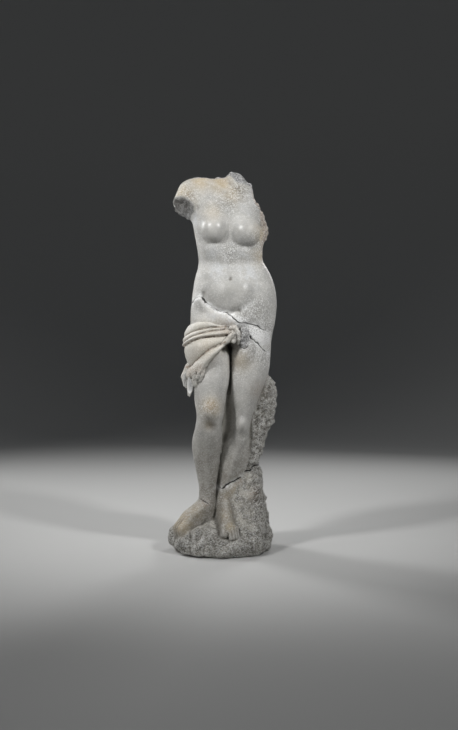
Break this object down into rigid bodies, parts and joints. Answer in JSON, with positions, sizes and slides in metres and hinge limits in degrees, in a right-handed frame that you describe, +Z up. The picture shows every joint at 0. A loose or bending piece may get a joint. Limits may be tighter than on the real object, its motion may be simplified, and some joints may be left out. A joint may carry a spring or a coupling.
{
  "type": "venus statue",
  "caption": "Standing headless, armless female nude of worn stone with cloth knotted at the hips, a rough support beside the leg and a low rock base.",
  "frame": {"origin": "on the underside of the rock base, below the middle of the whole outline", "axes": "+Z up, the figure faces -Y, the figure's right hip and the cloth's tail are towards -X"},
  "size_m": [0.2816, 0.2362, 0.998],
  "materials": {
    "stone": "fine pale grey cast stone, satin on the skin, rough on breaks, support and base"
  },
  "bodies": {
    "root": {"venus_statue": "stone"}
  },
  "joints": []
}
